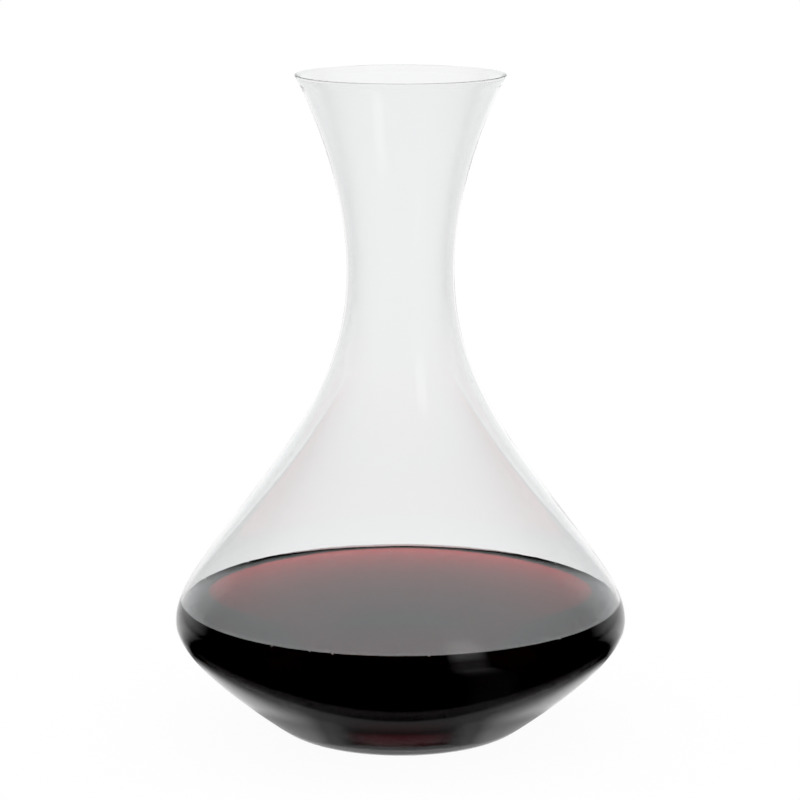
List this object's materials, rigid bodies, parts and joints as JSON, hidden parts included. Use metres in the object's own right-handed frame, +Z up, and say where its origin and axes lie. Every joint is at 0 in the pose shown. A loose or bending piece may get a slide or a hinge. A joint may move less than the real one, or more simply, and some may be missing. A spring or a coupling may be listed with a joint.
{
  "type": "wine decanter",
  "caption": "Blown glass wine decanter with a flared mouth, narrow neck and wide low belly on a flat base, holding a fill of red wine.",
  "frame": {"origin": "on the table under the middle of the base", "axes": "+Z up along the axis the vessel is turned about; it is the same all the way round, so +X and +Y point anywhere level"},
  "size_m": [0.1734, 0.1734, 0.2526],
  "materials": {
    "clear_glass": "clear, fire-polished, smooth",
    "red_wine": "deep red liquid with a mirror-smooth top"
  },
  "bodies": {
    "root": {"glass_vessel": "clear_glass", "wine": "red_wine"}
  },
  "joints": []
}
